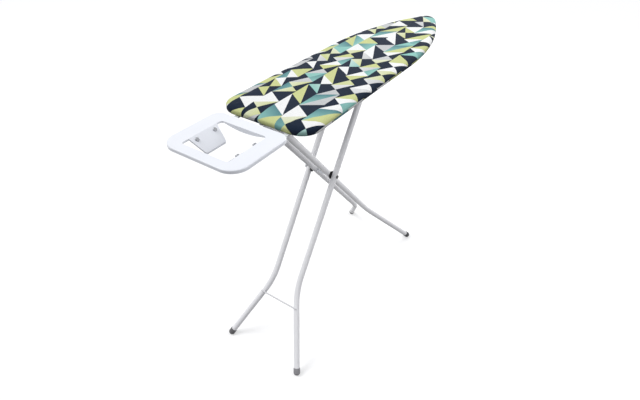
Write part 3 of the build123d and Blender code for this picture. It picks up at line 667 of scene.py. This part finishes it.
@dataclass
class BoardTop:
    """Padded top: cover with a gathered hem, pad, and the pierced deck under them."""

    plan: BoardPlan = BoardPlan()
    top: float = 0.906
    deck_top: float = 0.8958
    height: float = 0.027
    sink: float = 0.0026
    crown_run: float = 0.015
    crown_drop: float = 0.012
    crown_rows: int = 9
    hem_radius: float = 0.005
    hem_width: float = 0.019
    roll_radius: float = 0.0030
    roll_turn: float = 1.7 * math.pi
    roll_tighten: float = 0.28
    cloth: float = 0.0010
    top_rows: int = 24
    gather: float = 0.0016
    gather_pitch: float = 0.017
    gather_run: float = 0.010
    pad_inset: float = 0.0030
    pad_gap: float = 0.0004
    pad_lift: float = 0.0001
    voxel: float = 0.0055
    held_share: float = 0.55
    pressure: float = 4.0
    sim_mass: float = 0.3
    sim_quality: int = 5
    sim_frames: int = 20
    smooth_passes: int = 4
    swell_limit: float = 0.0026
    swell_depth: float = 0.017
    stitch_inset: float = 0.0145
    stitch_pitch: float = 0.0042
    stitch_length: float = 0.0030
    stitch_radius: float = 0.00032
    seed: int = 7

    def __post_init__(self) -> None:
        """Sample the plan once for all pieces."""
        self.edge, self.normal, self.spine = self.plan.loop()
        steps = np.linalg.norm(np.roll(self.edge, -1, axis=0) - self.edge, axis=1)
        self.along = np.concatenate([[0.0], np.cumsum(steps)[:-1]])
        self.around = float(steps.sum())
        self.swelling: Swelling | None = None

    def crown(self) -> list[tuple[float, float]]:
        """Rounded shoulder of the top as insets and drops, from the flat to the side."""
        turns = np.linspace(0, math.pi / 2, self.crown_rows)
        return [(self.crown_run * (1 - math.sin(t)), self.crown_drop * (1 - math.cos(t))) for t in turns]

    def cover_profile(self) -> list[tuple[float, float]]:
        """Section of the cover's edge as insets and drops, from the flat to inside the rolled hem."""
        low = self.height - self.sink
        section = self.crown()
        side_low = low - self.hem_radius
        section += [(0.0, drop) for drop in np.linspace(self.crown_drop, side_low, 4)[1:]]
        for turn in np.linspace(0, math.pi / 2, 6)[1:]:
            inset = self.hem_radius * (1 - math.cos(turn))
            section.append((inset, side_low + self.hem_radius * math.sin(turn)))
        section += [(inset, low) for inset in np.linspace(self.hem_radius, self.hem_width, 6)[1:]]
        for turn in np.linspace(0, self.roll_turn, 15)[1:]:
            radius = self.roll_radius * (1 - self.roll_tighten * turn / self.roll_turn)
            drop = low - self.roll_radius + radius * math.cos(turn)
            section.append((self.hem_width + radius * math.sin(turn), drop))
        return section

    def waves(self) -> np.ndarray:
        """Uneven gathers of the elastic hem round the outline, from 0 to 1."""
        draw = np.random.default_rng(self.seed)
        phase = np.zeros_like(self.along)
        count = round(self.around / self.gather_pitch)
        for extra in range(1, 7):
            wobble = 2 * math.pi * self.along / self.around * extra * 5
            phase += draw.uniform(0.1, 0.5) * np.sin(wobble + draw.uniform(0, 6.28))
        base = np.sin(2 * math.pi * count * self.along / self.around + phase)
        fine = np.sin(2 * math.pi * round(count * 1.7) * self.along / self.around + 1.3 * phase)
        depth = 0.72 + 0.28 * np.sin(2 * math.pi * 11 * self.along / self.around + 2.0)
        return np.clip(0.5 + 0.5 * depth * (0.75 * base + 0.25 * fine), 0, 1)

    def rows(self, section: list[tuple[float, float]], top: float) -> tuple[np.ndarray, np.ndarray]:
        """Lay rows of points from the spine over the top and down an edge section.

        Args:
            section: Insets and drops of the edge.
            top: Height of the flat.

        Returns:
            Points, and their places on the flat cloth with their drop, as rows by outline points.
        """
        inner = self.edge - self.normal * section[0][0]
        places, flats = [], []
        for share in np.linspace(0, 1, self.top_rows, endpoint=False):
            level = self.spine + (inner - self.spine) * share
            places.append(np.column_stack([level, np.full(len(level), top)]))
            flats.append(np.column_stack([level, np.zeros(len(level))]))
        run, last = 0.0, section[0]
        for inset, drop in section:
            run += math.hypot(inset - last[0], drop - last[1])
            last = (inset, drop)
            level = self.edge - self.normal * inset
            places.append(np.column_stack([level, np.full(len(level), top - drop)]))
            flats.append(np.column_stack([inner + self.normal * run, np.full(len(level), drop)]))
        return np.array(places), np.array(flats)

    @staticmethod
    def skin(name: str, places: np.ndarray) -> bpy.types.Object:
        """Join rows of points with faces."""
        rows, columns = places.shape[:2]
        faces = []
        for row in range(rows - 1):
            for column in range(columns):
                after = (column + 1) % columns
                faces.append((row * columns + column, row * columns + after,
                              (row + 1) * columns + after, (row + 1) * columns + column))
        return new_object(name, places.reshape(-1, 3), faces)

    def stuffed(self) -> Swelling:
        """Blow up a remeshed copy of the stuffed top with a cloth simulation.

        Returns:
            A tree of the shape at rest, how far each point moved, and the points of each face.
        """
        low = self.height - self.hem_radius
        section = self.crown() + [(0.0, low), (self.hem_radius, self.height)]
        places, _ = self.rows(section, self.top - self.sink)
        under = []
        for share in np.linspace(1, 0, 12):
            level = self.spine + (self.edge - self.normal * self.hem_radius - self.spine) * share
            under.append(np.column_stack([level, np.full(len(level), self.top - self.sink - self.height)]))
        form = self.skin("stuffing_form", np.concatenate([places, np.array(under[1:])]))
        weld(form)
        remesh = form.modifiers.new("even", "REMESH")
        remesh.mode, remesh.voxel_size = "VOXEL", self.voxel
        mesh = bpy.data.meshes.new_from_object(form.evaluated_get(bpy.context.evaluated_depsgraph_get()))
        bpy.data.objects.remove(form)
        bag = bpy.data.objects.new("stuffing", mesh)
        bpy.context.scene.collection.objects.link(bag)
        rest = np.zeros(len(mesh.vertices) * 3, np.float32)
        mesh.vertices.foreach_get("co", rest)
        rest = rest.reshape(-1, 3).astype(float)
        held = bag.vertex_groups.new(name="held")
        lower = np.nonzero(rest[:, 2] < self.top - self.held_share * self.height)[0]
        held.add([int(index) for index in lower], 1.0, "REPLACE")
        cloth = bag.modifiers.new("swell", "CLOTH")
        cloth.settings.quality = self.sim_quality
        cloth.settings.mass = self.sim_mass
        cloth.settings.use_pressure = True
        cloth.settings.uniform_pressure_force = self.pressure
        cloth.settings.effector_weights.gravity = 0
        cloth.settings.vertex_group_mass = "held"
        cloth.collision_settings.use_collision = False
        cloth.point_cache.frame_start, cloth.point_cache.frame_end = 1, self.sim_frames
        for step in range(1, self.sim_frames + 1):
            bpy.context.scene.frame_set(step)
        swollen = bpy.data.meshes.new_from_object(bag.evaluated_get(bpy.context.evaluated_depsgraph_get()))
        moved = np.zeros(len(swollen.vertices) * 3, np.float32)
        swollen.vertices.foreach_get("co", moved)
        moved = moved.reshape(-1, 3).astype(float) - rest
        far = np.linalg.norm(moved, axis=1, keepdims=True)
        moved *= self.swell_limit * np.tanh(far / self.swell_limit) / np.maximum(far, 1e-9)
        faces = [tuple(face.vertices) for face in mesh.polygons]
        tree = BVHTree.FromPolygons([tuple(point) for point in rest], faces)
        LOG.info("cloth moved %.1f mm at most on %d points", 1000 * float(far.max()), len(rest))
        bpy.data.objects.remove(bag)
        bpy.context.scene.frame_set(1)
        return tree, moved, faces

    def swell(self, places: np.ndarray) -> np.ndarray:
        """Move rows of points as the simulated top moved.

        Args:
            places: Rows of points.

        Returns:
            The moved rows.
        """
        if self.swelling is None:
            return places
        tree, moved, faces = self.swelling
        flat = places.reshape(-1, 3)
        shift = np.zeros_like(flat)
        for index, point in enumerate(flat):
            _, _, face, _ = tree.find_nearest(Vector(point))
            shift[index] = moved[list(faces[face])].mean(axis=0)
        shift = shift.reshape(places.shape)
        for _ in range(self.smooth_passes):
            ring = (np.roll(shift, 1, axis=1) + np.roll(shift, -1, axis=1)) / 2
            column = np.concatenate([shift[:1], (shift[:-2] + shift[2:]) / 2, shift[-1:]])
            shift = 0.4 * shift + 0.3 * ring + 0.3 * column
        depth = np.clip((self.top - self.sink - places[..., 2:]) / self.swell_depth, 0, 1)
        return places + shift * (0.5 + 0.5 * np.cos(math.pi * depth))

    def build_cover(self) -> bpy.types.Object:
        """Build the cover: crowned top, sides and a gathered hem with a rolled edge."""
        section = self.cover_profile()
        places, flats = self.rows(section, self.top - self.sink)
        turned_in = next(i for i, (inset, _) in enumerate(section) if 0 < inset and i > self.crown_rows)
        hem_row = self.top_rows + turned_in
        upper = self.swell(places[:hem_row + 1])
        places = np.concatenate([upper, places[hem_row + 1:]])
        waves = self.waves()
        for row, (inset, _) in enumerate(section):
            if row >= turned_in:
                share = min(1.0, max(0.0, (inset - self.hem_radius) / self.gather_run))
                places[self.top_rows + row, :, 2] += share * self.gather * waves
                pull = 0.5 * (1 - share) * self.gather * waves
                places[self.top_rows + row, :, :2] -= self.normal * pull[:, None]
        cover = self.skin("cover_cloth", places)
        cloth = cover.data.attributes.new("cloth", "FLOAT_VECTOR", "POINT")
        cloth.data.foreach_set("vector", flats.reshape(-1).astype(np.float32))
        weld(cover)
        wall = cover.modifiers.new("cloth", "SOLIDIFY")
        wall.thickness, wall.offset = self.cloth, -1.0
        return cover

    def build_pad(self) -> bpy.types.Object:
        """Build the pad: crowned felt that fills the cover above the deck."""
        top = self.top - self.sink - self.cloth - self.pad_gap
        thick = top - self.deck_top - self.pad_lift
        section = []
        for turn in np.linspace(0, math.pi / 2, 8):
            inset = self.pad_inset + self.crown_run * (1 - math.sin(turn))
            section.append((inset, thick * (1 - math.cos(turn))))
        places, _ = self.rows(section, top)
        places = self.swell(places)
        places[-1, :, 2] = top - thick
        under = []
        for share in np.linspace(1, 0, 8)[1:]:
            level = self.spine + (places[-1, :, :2] - self.spine) * share
            under.append(np.column_stack([level, np.full(len(level), top - thick)]))
        pad = self.skin("pad_felt", np.concatenate([places, np.array(under)]))
        weld(pad)
        return pad

    def build_stitches(self, material: bpy.types.Material) -> bpy.types.Object:
        """Sew the hem's channel with a row of stitches that follows its gathers.

        Args:
            material: Thread material.

        Returns:
            The row of stitches.
        """
        low = self.top - self.height - 0.4 * self.stitch_radius
        share = min(1.0, (self.stitch_inset - self.hem_radius) / self.gather_run)
        level = self.edge - self.normal * self.stitch_inset
        line = np.column_stack([level, low + share * self.gather * self.waves()])
        count = len(line)
        seed = new_object("hem_line", line, [], [(i, (i + 1) % count) for i in range(count)])
        tree = NodeTree("hem_stitches")
        pitch = tree.size("Pitch", self.stitch_pitch)
        long, radius = tree.size("Length", self.stitch_length), tree.size("Radius", self.stitch_radius)
        curve = tree.add("GeometryNodeMeshToCurve", None, {0: tree.source.outputs[0]})
        sockets = {"Curve": curve.outputs[0], "Length": pitch}
        dots = tree.add("GeometryNodeCurveToPoints", {"mode": "LENGTH"}, sockets)
        bead = tree.add("GeometryNodeMeshUVSphere", None, {"Segments": 6, "Rings": 4, "Radius": 1.0})
        half = tree.add("ShaderNodeMath", {"operation": "DIVIDE"}, {0: long, 1: 2.0})
        scale = tree.add("ShaderNodeCombineXYZ", None, {0: radius, 1: radius, 2: half.outputs[0]})
        sockets = {"Points": dots.outputs["Points"], "Instance": bead.outputs["Mesh"],
                   "Rotation": dots.outputs["Rotation"], "Scale": scale.outputs[0]}
        row = tree.add("GeometryNodeInstanceOnPoints", None, sockets)
        return tree.grow("hem_stitches", seed, row.outputs[0], material)

    def build(self, coat: bpy.types.Material) -> None:
        """Build and dress the whole top.

        Args:
            coat: Powder coat of the deck.
        """
        self.swelling = self.stuffed()
        cover, pad = self.build_cover(), self.build_pad()
        place(cover, Body.BOARD, Slot.COVER, PrintedCotton().material())
        place(pad, Body.BOARD, Slot.PAD, Felt().material())
        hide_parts("cover")
        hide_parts("pad")
        thread = Thread().material()
        stitches = self.build_stitches(thread)
        place(stitches, Body.BOARD, Slot.COVER, thread)
        dress(("deck_sheet", "deck_rim"), coat)


@dataclass
class IronRest:
    """Pressed rest for the iron, with its studs, straps and bolts."""

    def build(self, coat: bpy.types.Material, zinc: bpy.types.Material) -> None:
        """Dress the rest and its fastenings.

        Args:
            coat: Powder coat of the pressing and straps.
            zinc: Plating of the bolts.
        """
        dress(("iron_rest", "rest_arm_near", "rest_arm_far"), coat)
        dress(("rest_bolts",), zinc)
        stud = PlatedSteel("stud_plating", ink(172, 174, 178), ink(118, 120, 126), 0.38)
        dress(("rest_studs",), stud.material())


@dataclass
class CrossedLegs:
    """Bent tube legs with their caps, brace, axle and pivots."""

    def build(self, coat: bpy.types.Material, zinc: bpy.types.Material, black: bpy.types.Material) -> None:
        """Dress both pairs of legs.

        Args:
            coat: Powder coat of the bracket.
            zinc: Plating of pins and sleeves.
            black: Black plastic of the discs.
        """
        tubes = ("outer_leg_near", "outer_leg_far", "inner_leg_near", "inner_leg_far")
        tube_coat = PowderCoat("tube_powder_coat", ink(246, 246, 248), ink(240, 240, 243))
        dress(tubes, tube_coat.material())
        # Painted shade: the white brace wire gets a greyer white than the tubes, standing in for the shade
        # on its underside.
        painted_shade_wire_coat = PowderCoat("painted_shade_wire_powder_coat", ink(216, 216, 219), ink(208, 208, 211))
        dress(("leg_brace",), painted_shade_wire_coat.material())
        dress(("heel_bracket",), coat)
        dress(("heel_pin", "heel_sleeve", "axle_sleeve", "axle_nut"), zinc)
        dress(("axle_spacers",), black)
        axle = PowderCoat("black_powder_coat", ink(38, 37, 40), ink(52, 51, 55), ink(96, 96, 100))
        dress(("scissor_axle",), axle.material())
        # Painted light: the caps are one grey plastic given as lit and shaded copies. The near outer cap is
        # painted lighter, the far outer cap darker and the inner caps darkest, standing in for how light
        # falls on each.
        painted_lit_cap = MouldedPlastic("painted_lit_cap_plastic", ink(142, 141, 145), ink(158, 157, 161))
        painted_shade_cap = MouldedPlastic("painted_shade_cap_plastic", ink(98, 97, 100), ink(116, 115, 118))
        painted_deep_shade_cap = MouldedPlastic("painted_deep_shade_cap_plastic", ink(58, 58, 61), ink(76, 76, 79))
        dress(("outer_foot_near",), painted_lit_cap.material())
        dress(("outer_foot_far",), painted_shade_cap.material())
        dress(("inner_foot_near", "inner_foot_far"), painted_deep_shade_cap.material())


@dataclass
class HeightRack:
    """Notched rails, height rod and the sprung release lever with its ribbed grip."""

    rib_count: int = 8
    rib_radius: float = 0.0011
    rib_margin: float = 0.006
    leaf_thick: float = 0.0008
    leaf_width: float = 0.008
    leaf_foot: float = 0.022
    leaf_curl: float = 0.006
    leaf_keep: float = 0.61

    def build_ribs(self, material: bpy.types.Material) -> bpy.types.Object:
        """Lay ribs across the upper and lower face of the lever's grip.

        Args:
            material: Plastic of the grip.

        Returns:
            The ribs.
        """
        low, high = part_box("lever_grip")
        start, stop = low.x + self.rib_margin, high.x - self.rib_margin
        middle = (low.y + high.y) / 2
        spots = np.linspace(start, stop, self.rib_count)
        line = np.array([[x, middle, z] for z in (low.z, high.z) for x in spots])
        seed = new_object("rib_line", line, [])
        tree = NodeTree("grip_ribs")
        radius = tree.size("Radius", self.rib_radius)
        width = tree.size("Width", high.y - low.y - 2 * self.rib_margin)
        bar = tree.add("GeometryNodeMeshCylinder", None, {"Vertices": 10, "Radius": radius, "Depth": width})
        dots = tree.add("GeometryNodeMeshToPoints", None, {0: tree.source.outputs[0]})
        sockets = {"Points": dots.outputs[0], "Instance": bar.outputs["Mesh"],
                   "Rotation": (math.pi / 2, 0.0, 0.0)}
        row = tree.add("GeometryNodeInstanceOnPoints", None, sockets)
        return tree.grow("grip_ribs", seed, row.outputs[0], material)

    def build_leaf(self) -> bpy.types.Object:
        """Build the leaf spring as a bent strip."""
        low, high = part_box("lever_spring")
        middle = (low.y + high.y) / 2
        bend, curl = high.x - self.leaf_foot, low.x + self.leaf_curl
        half = self.leaf_thick / 2
        knots = [(high.x, high.z - half), (bend + 0.003, high.z - half), (bend - 0.003, high.z - 0.0014),
                 (curl + 0.004, low.z + 0.0022), (curl + 0.001, low.z + half),
                 (curl - 0.002, low.z + 0.0010), (low.x, low.z + 0.0030)]
        points, faces = [], []
        for x, z in knots:
            points += [(x, middle - self.leaf_width / 2, z), (x, middle + self.leaf_width / 2, z)]
        for index in range(len(knots) - 1):
            faces.append((2 * index, 2 * index + 2, 2 * index + 3, 2 * index + 1))
        leaf = new_object("lever_leaf", np.array(points), faces)
        wall = leaf.modifiers.new("strip", "SOLIDIFY")
        wall.thickness, wall.offset = self.leaf_thick, 0.0
        mesh = bpy.data.meshes.new_from_object(leaf.evaluated_get(bpy.context.evaluated_depsgraph_get()))
        leaf.modifiers.clear()
        leaf.data = mesh
        weld(leaf)
        leaf.data.polygons.foreach_set("use_smooth", [False] * len(leaf.data.polygons))
        return leaf

    def build(self, coat: bpy.types.Material, zinc: bpy.types.Material, black: bpy.types.Material) -> None:
        """Build and dress the rack, rod and lever.

        Args:
            coat: Powder coat of the rails and lever.
            zinc: Plating of the rod and pin.
            black: Black plastic of the rod's caps.
        """
        dress(("rack_rail_near", "rack_rail_far", "release_lever"), coat)
        dress(("height_rod", "lever_pin"), zinc)
        dress(("rod_caps",), black)
        grip = MouldedPlastic("grip_plastic", ink(84, 85, 88), ink(102, 103, 106)).material()
        dress(("lever_grip",), grip)
        place(self.build_ribs(grip), Body.LEVER, Slot.FOOT, grip)
        leaf = self.build_leaf()
        blued = PlatedSteel("spring_blue", ink(120, 126, 140), ink(70, 76, 92))
        place(leaf, Body.BOARD, Slot.SPRING, blued.material())
        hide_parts("lever_spring")
        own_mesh(leaf)


@dataclass
class Studio:
    """White floor, soft lamps and the camera at the photograph's angle."""

    floor_half: float = 30.0
    floor_glow: float = 0.32
    glow_level: float = 1.26
    sky: float = 0.47
    key_level: float = 0.54
    key_spread: float = 0.6
    key_spot: Spot = (-1.35, 1.95, 3.4)
    lamp_size: float = 2.0
    near_power: float = 38.0
    near_spot: Spot = (0.5, -3.05, 2.1)
    nose_power: float = 34.0
    nose_spot: Spot = (3.2, 0.2, 2.0)
    aim: Spot = (0.0, 0.0, 0.6)
    lens: float = 26.106
    sensor: float = 36.0
    sight: float = 100.0
    eye: Spot = (-1.20458, -0.72497, 1.45317)
    back: Spot = (-0.65411367, -0.44691901, 0.6102448)

    def build_floor(self) -> None:
        """Lay a white floor that keeps soft shadows."""
        half = self.floor_half
        corners = np.array([(-half, -half, 0), (half, -half, 0), (half, half, 0), (-half, half, 0)], float)
        floor = new_object("studio_floor", corners, [(0, 1, 2, 3)])
        tree = ShaderTree("studio_white")
        rays = tree.add("ShaderNodeLightPath")
        seen = tree.value(rays, "Is Camera Ray").math("MAXIMUM", tree.value(rays, "Is Glossy Ray"))
        seen = seen.math("MAXIMUM", tree.value(rays, "Is Transmission Ray"))
        shade = tree.mix(seen, ink(92, 92, 94), ink(254, 254, 254))
        paper = tree.add("ShaderNodeBsdfDiffuse", None, {"Color": shade})
        glow = tree.add("ShaderNodeEmission", None, {"Color": (1, 1, 1, 1), "Strength": self.glow_level})
        both = tree.add("ShaderNodeMixShader", None, {0: seen * self.floor_glow, 1: paper.outputs[0],
                                                      2: glow.outputs[0]})
        tree.tree.links.new(both.outputs[0], tree.output.inputs["Surface"])
        floor.data.materials.append(tree.material)

    def build_sky(self) -> None:
        """Light the room evenly, with a white background for the eye and for gloss."""
        world = bpy.data.worlds.new("studio_sky")
        bpy.context.scene.world = world
        world.use_nodes = True
        graph = NodeGraph(world.node_tree)
        rays = graph.add("ShaderNodeLightPath")
        seen = rays.outputs["Is Camera Ray"]
        for name in ("Is Glossy Ray", "Is Transmission Ray"):
            most = graph.add("ShaderNodeMath", {"operation": "MAXIMUM"}, {0: seen, 1: rays.outputs[name]})
            seen = most.outputs[0]
        dim = graph.add("ShaderNodeBackground", None, {"Color": ink(250, 251, 255), "Strength": self.sky})
        white = graph.add("ShaderNodeBackground", None, {"Color": (1, 1, 1, 1)})
        mix = graph.add("ShaderNodeMixShader", None, {0: seen, 1: dim.outputs[0], 2: white.outputs[0]})
        graph.add("ShaderNodeOutputWorld", None, {"Surface": mix.outputs[0]})

    def hang(self, lamp: bpy.types.Light, spot: Spot) -> None:
        """Hang a lamp at a spot, facing the board."""
        hung = bpy.data.objects.new(lamp.name, lamp)
        hung.location = spot
        hung.rotation_mode = "QUATERNION"
        hung.rotation_quaternion = (Vector(self.aim) - Vector(spot)).to_track_quat("-Z", "Y")
        bpy.context.scene.collection.objects.link(hung)

    def build_lamps(self) -> None:
        """Light the board from above, softly and evenly, with weak lamps at the near side and the nose."""
        key = bpy.data.lights.new("key_lamp", "SUN")
        key.energy, key.angle = self.key_level * math.pi, self.key_spread
        self.hang(key, self.key_spot)
        for name, power, spot in (("near_lamp", self.near_power, self.near_spot),
                                  ("nose_lamp", self.nose_power, self.nose_spot)):
            lamp = bpy.data.lights.new(name, "AREA")
            lamp.shape, lamp.size, lamp.energy = "SQUARE", self.lamp_size, power
            self.hang(lamp, spot)

    def build_camera(self) -> None:
        """Stand the camera where the photograph was taken."""
        lens = bpy.data.cameras.new("photo_camera")
        lens.lens, lens.sensor_width, lens.sensor_fit = self.lens, self.sensor, "HORIZONTAL"
        lens.clip_end = self.sight
        camera = bpy.data.objects.new("photo_camera", lens)
        camera.location = self.eye
        camera.rotation_mode = "QUATERNION"
        camera.rotation_quaternion = (-Vector(self.back)).to_track_quat("-Z", "Y")
        bpy.context.scene.collection.objects.link(camera)
        bpy.context.scene.camera = camera

    def build(self) -> None:
        """Set up the whole studio."""
        bpy.context.scene.view_settings.view_transform = "Standard"
        self.build_floor()
        self.build_sky()
        self.build_lamps()
        self.build_camera()


def main() -> None:
    """Build every sub-assembly, then the studio."""
    logging.basicConfig(level=logging.INFO, format="%(message)s")
    coat = PowderCoat("white_powder_coat").material()
    zinc = PlatedSteel("zinc_plating").material()
    black = MouldedPlastic("black_moulding", ink(26, 26, 28), ink(44, 44, 47)).material()
    BoardTop().build(coat)
    IronRest().build(coat, zinc)
    CrossedLegs().build(coat, zinc, black)
    HeightRack().build(coat, zinc, black)
    Studio().build()


if __name__ == "__main__":
    main()
